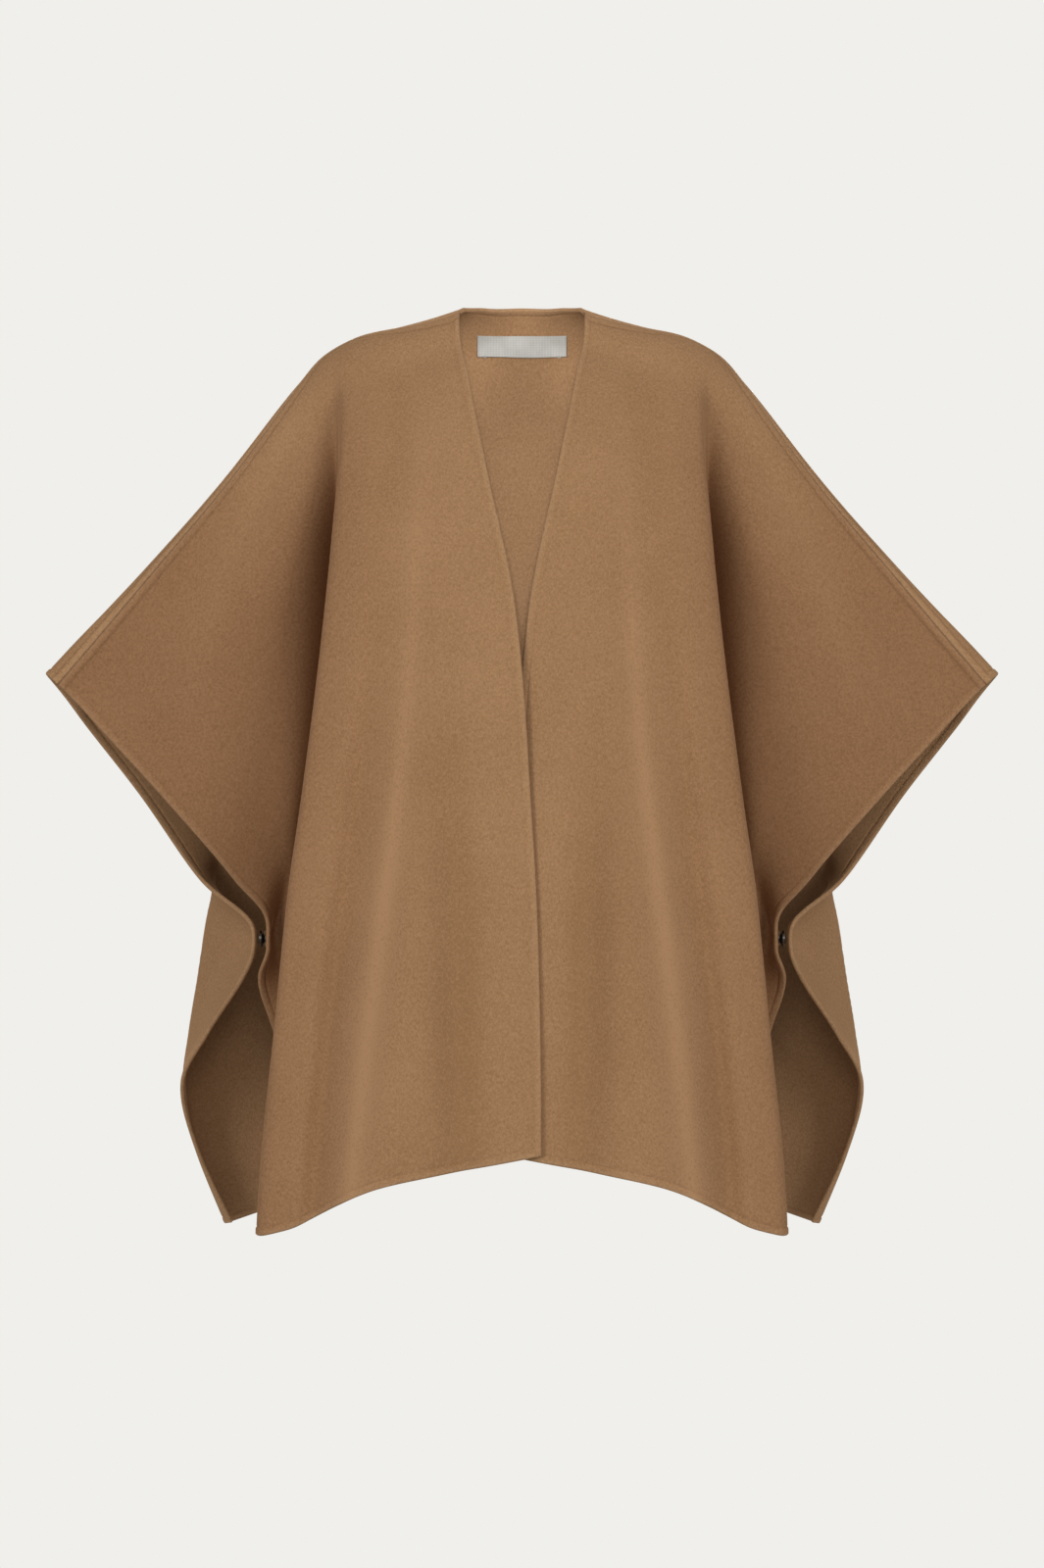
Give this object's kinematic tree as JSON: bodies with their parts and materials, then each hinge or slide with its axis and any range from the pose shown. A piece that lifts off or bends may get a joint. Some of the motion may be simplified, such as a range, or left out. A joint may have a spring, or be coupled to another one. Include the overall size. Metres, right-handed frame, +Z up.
{
  "type": "wool cape",
  "caption": "Open-front cape in thick camel wool, with batwing sides that hang in deep folds and are held by snaps under the arms.",
  "frame": {"origin": "on the shoulder line, midway between the two neck corners, where the wearer's shoulders hold the cape", "axes": "+Z up, +X to the wearer's left, -Y to the front"},
  "size_m": [0.922, 0.3846, 0.9031],
  "materials": {
    "wool": "brushed double-faced wool, matt, short nap",
    "label_cloth": "plain woven tape, matt",
    "snap_metal": "dark nickel, satin"
  },
  "bodies": {
    "root": {"front_right": "wool", "front_left": "wool", "back": "wool", "label": "label_cloth", "snap_stud_left": "snap_metal", "snap_socket_left": "snap_metal", "snap_stud_right": "snap_metal", "snap_socket_right": "snap_metal"}
  },
  "joints": []
}
